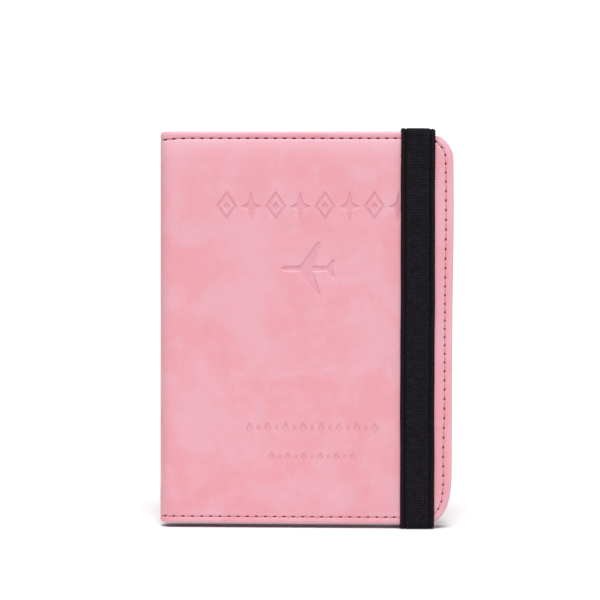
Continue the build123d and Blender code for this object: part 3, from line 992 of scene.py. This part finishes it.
def pocket_leather_material():
    """Thin smooth leather with a fine even grain."""
    r = Recipe("pocket_leather")
    clouds = r.noise(17, 2.0, 0.5, 0.4)
    grain = r.noise(0.45, 3.0, 0.6)
    creases = r.noise(2.4, 3.0, 0.6, 1.2)
    r.two_tone(clouds, 0.35, 0.68, (214, 138, 149), (219, 152, 165))
    r.tint(grain, 0.35, 0.7, 0.25, (202, 122, 134))
    r.tint(creases, 0.55, 0.72, 0.2, (226, 164, 176))
    normal = r.bump(creases, 0.04, r.bump(grain, 0.05))
    return r.finish(r.span(creases, 0.3, 0.7, 0.55, 0.45), normal, Specular_IOR_Level=0.4)


def lining_material():
    """Plain woven cloth: two sets of threads that pass over and under each other."""
    r = Recipe("lining_cloth")
    warp = r.wave("X", WEAVE, 0.4)
    weft = r.wave("Z", WEAVE, 0.4)
    weave = r.math("MULTIPLY", warp, weft)
    slubs = r.noise(0.5, 2.0, 0.5, 0.0, r.stretched(1.0, 1.0, 0.15))
    tone = r.noise(13, 2.0)
    r.two_tone(weave, 0.1, 0.6, (170, 98, 110), (206, 134, 147))
    r.tint(slubs, 0.55, 0.8, 0.4, (220, 156, 168))
    r.tint(tone, 0.3, 0.7, 0.25, (186, 112, 126))
    return r.finish(r.span(weave, 0.1, 0.6, 0.9, 0.7), r.bump(weave, 0.06), Sheen_Weight=0.15)


def board_material():
    """Grey fibre board."""
    r = Recipe("fibre_board")
    r.use_object_place()
    fibres = r.noise(0.8, 4.0, 0.7, 1.5)
    specks = r.noise(0.25, 1.0)
    r.two_tone(fibres, 0.3, 0.7, (146, 141, 134), (176, 171, 163))
    r.tint(specks, 0.68, 0.75, 0.6, (96, 92, 88))
    return r.finish(r.span(fibres, 0.3, 0.7, 0.95, 0.8), r.bump(fibres, 0.05))


def foil_material():
    """Thin foil laminate with fine rolling lines and soft creases."""
    r = Recipe("shield_foil")
    r.use_object_place()
    lines = r.noise(0.3, 2.0, 0.6, 0.0, r.stretched(1.0, 1.0, 0.04))
    creases = r.noise(6, 2.0, 0.5, 1.0)
    r.two_tone(lines, 0.3, 0.7, (178, 181, 186), (205, 207, 211))
    r.tint(creases, 0.5, 0.7, 0.3, (160, 164, 170))
    normal = r.bump(creases, 0.05, r.bump(lines, 0.01))
    return r.finish(r.span(lines, 0.3, 0.7, 0.3, 0.42), normal, Metallic=1.0)


# ---------------- camera, light and floor
def floor_material():
    r = Recipe("white_floor")
    place = r.add("TexCoord", {}, "Object")
    speckle = r.add("TexNoise", {"Vector": place, "Scale": 60.0, "Detail": 3.0}, "Fac")
    r.colour = r.mix(speckle, linear(238, 238, 239), linear(242, 242, 243))
    return r.finish(0.9)


def add_floor():
    half = 4  # metres
    corners = [(-half, -half, 0), (half, -half, 0), (half, half, 0), (-half, half, 0)]
    mesh = bpy.data.meshes.new("floor")
    mesh.from_pydata(corners, [], [(0, 1, 2, 3)])
    mesh.materials.append(floor_material())
    link(bpy.data.objects.new("floor", mesh))


def add_camera():
    """700 mm in front of the cover, to the right of its middle, and looking slightly down and left."""
    camera = link(bpy.data.objects.new("camera", bpy.data.cameras.new("camera")))
    camera.data.sensor_width = 36.0
    camera.data.lens = 117.45
    camera.location = Vector((18.55, FRONT_FACE - 700, 96.7)) * MM
    down, roll, left = 1.208, -0.12, 1.707
    camera.rotation_euler = (radians(90 - down), radians(roll), radians(left))
    bpy.context.scene.camera = camera


def add_sun(name, strength, spread, towards):
    """An even, soft light that comes from the given direction."""
    data = bpy.data.lights.new(name, "SUN")
    data.energy = strength
    data.angle = radians(spread)
    light = link(bpy.data.objects.new(name, data))
    light.rotation_euler = Vector(towards).to_track_quat("Z", "Y").to_euler()


def add_world(ambient):
    """White where the camera sees it, and a soft even light for everything else."""
    world = bpy.data.worlds.new("studio")
    bpy.context.scene.world = world
    world.use_nodes = True
    nodes, links = world.node_tree.nodes, world.node_tree.links
    path = nodes.new("ShaderNodeLightPath")
    strength = nodes.new("ShaderNodeMapRange")
    strength.inputs["To Min"].default_value = ambient
    strength.inputs["To Max"].default_value = 1.1
    links.new(path.outputs["Is Camera Ray"], strength.inputs["Value"])
    nodes["Background"].inputs["Color"].default_value = (1, 1, 1, 1)
    links.new(strength.outputs["Result"], nodes["Background"].inputs["Strength"])


def add_studio():
    bpy.context.scene.view_settings.view_transform = "Standard"
    add_world(0.32)
    add_sun("overhead", 2.93, 28, (0.02, -0.5, 0.86))
    add_sun("front", 0.65, 120, (0.0, -0.95, 0.3))
    add_sun("behind", 0.6, 50, (-0.1, 0.36, 0.93))
    add_floor()
    add_camera()


# ---------------- the object
fold_starts = {
    FRONT: ("spine", "front_cover", (SPINE_FACE, FRONT_FACE + FOLD_RADIUS), (PANEL_LEFT, FRONT_FACE)),
    BACK: ("back_cover", "spine", (PANEL_LEFT, BACK_FACE), (SPINE_FACE, BACK_FACE - FOLD_RADIUS)),
}


def stands_for(piece, slot, *nodes):
    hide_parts(*nodes)
    return piece


def add_riding(piece, body, slot, *nodes):
    return stands_for(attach(piece, body), slot, *nodes)


def add_bending(piece, side, slot, *nodes):
    """Adds a piece that reaches from a cover to the middle of the spine."""
    first, second, start, end = fold_starts[side]
    Vector((*start, CENTRE_Z)) * MM
    Vector((*end, CENTRE_Z)) * MM
    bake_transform(piece)
    return stands_for(piece, slot, *nodes)


def build_outside(leather, thread, elastic):
    front, back = cover_leather(FRONT, leather, ornament()), cover_leather(BACK, leather)
    add_bending(front, FRONT, "cover_leather", "front_skin", "spine_skin")
    add_bending(back, BACK, "cover_leather", "back_skin")
    add_bending(outer_stitches(FRONT, thread), FRONT, "thread", "front_stitching", "spine_stitching")
    add_bending(outer_stitches(BACK, thread), BACK, "thread", "back_stitching")
    add_riding(elastic_run(elastic), "elastic", "elastic", "elastic_band")


def build_linings(cloth):
    for side, nodes in ((FRONT, ("front_lining", "spine_lining")), (BACK, ("back_lining",))):
        piece = add_bending(lining(side, cloth), side, "lining_cloth", *nodes)


def add_panel(panel, node, material):
    add_riding(soft_panel(panel, material), panel.side.body, "pocket_leather", node)


def add_threads(name, parts, side, node, material):
    add_riding(thread_piece(name, parts, material), side.body, "thread", node)


def sew_cards(cards, thread):
    """Each card slot is sewn down its spine side and along its mouth, as far as the next one's mouth."""
    parts = []
    left = cards[0].low[0] + EDGE_SEAM
    for panel, below in zip(cards, (cards[1].high[1], cards[2].high[1], cards[2].low[1])):
        mouth = panel.high[1] - EDGE_SEAM
        corners = [(left, below + 1.5), (left, mouth), (FORE_EDGE - 4.5, mouth)]
        parts += sewn_line(FRONT, corners, panel.depth + panel.thick)
    add_threads("card_slot_thread", parts, FRONT, "card_slot_stitching", thread)


def build_front_pockets(leather, thread):
    square, round_low = (CUT, CUT, CUT, CUT), (CUT, LAYER_CORNER, CUT, CUT)
    ticket = panel_of("ticket_pocket", "ticket_panel", FRONT, ROUND_OUTSIDE, THIN)
    cards = [
        panel_of(f"card_slot_{level}", f"card_panel_{level}", FRONT, radii, THIN)
        for level, radii in (("upper", square), ("middle", square), ("lower", round_low))
    ]
    sim = panel_of("sim_pocket", "sim_panel", FRONT, (2.0,) * 4, THIN)
    add_panel(ticket, "ticket_pocket", leather)
    add_panel(sim, "sim_pocket", leather)
    for card in cards:
        add_panel(card, card.name.replace("panel", "slot"), leather)

    sew_cards(cards, thread)
    x, top, bottom = ticket.low[0] + EDGE_SEAM, ticket.high[1] - SEAM_GAP, ticket.low[1] + SEAM_GAP
    edge = sewn_line(FRONT, [(x, top), (x, bottom)], ticket.depth + ticket.thick)
    add_threads("ticket_edge_thread", edge, FRONT, "ticket_edge_stitching", thread)

    low, high = sim.low + EDGE_SEAM, sim.high - EDGE_SEAM
    corners = [(low[0], high[1]), low, (high[0], low[1]), high]
    around = sewn_line(FRONT, corners, sim.depth + sim.thick)
    add_threads("sim_pocket_thread", around, FRONT, "sim_pocket_stitching", thread)
    add_bending(inner_stitches(FRONT, [ticket, *cards], thread), FRONT, "thread", "front_inner_stitching")


def build_passport_pocket(leather, thread):
    panel = panel_of("passport_pocket", "passport_panel", BACK, ROUND_OUTSIDE, THICK, POCKET_BOW, 0.25)
    add_panel(panel, "passport_pocket", leather)
    heights = np.linspace(panel.high[1] - SEAM_GAP, panel.low[1] + SEAM_GAP, 60)
    line = bowed(panel, np.stack([np.full(60, panel.low[0] + EDGE_SEAM), heights], -1))
    mouth = sewn_line(BACK, line, panel.depth + panel.thick)
    add_threads("pocket_mouth_thread", mouth, BACK, "pocket_edge_stitching", thread)
    add_bending(inner_stitches(BACK, [panel], thread), BACK, "thread", "back_inner_stitching")


def build_elastic_ends(elastic):
    """The band over the top and bottom edges, and its ends sewn in behind the back cover's leather."""
    over, under = [], []
    for height, into in ((TOP_LINE, -1), (BOTTOM_LINE, 1)):
        turned = [(LIP_END, height), (TAIL_Y, height), (TAIL_Y, height + into * TURN_IN)]
        straight = [(TAIL_Y, height + into * TAIL_START), (TAIL_Y, height + into * TAIL_END)]
        if into > 0:
            straight, turned = straight[::-1], turned[::-1]
        over.append(rounded_line(turned, 1.0, RIB_PITCH / 4))
        under.append(rounded_line(straight, 0, RIB_PITCH / 4))
    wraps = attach(webbing("elastic_over_edges", over, elastic), "back_cover")
    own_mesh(wraps)
    stands_for(wraps, "elastic", "elastic_wraps")
    add_riding(webbing("elastic_ends", under, elastic), "back_cover", "elastic", "elastic_tails")


def finish_hidden_layers():
    """The stiffening boards and foils keep their CAD shape, with their own materials."""
    for layer, material in (("board", board_material()), ("shield", foil_material())):
        for side in (FRONT, BACK):
            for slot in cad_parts[f"{side.name}_{layer}"].material_slots:
                slot.material = material


leather, pocket_leather = cover_leather_material(), pocket_leather_material()
thread, elastic = thread_material(), elastic_material()
build_outside(leather, thread, elastic)
build_linings(lining_material())
build_front_pockets(pocket_leather, thread)
build_passport_pocket(pocket_leather, thread)
build_elastic_ends(elastic)
finish_hidden_layers()
add_studio()
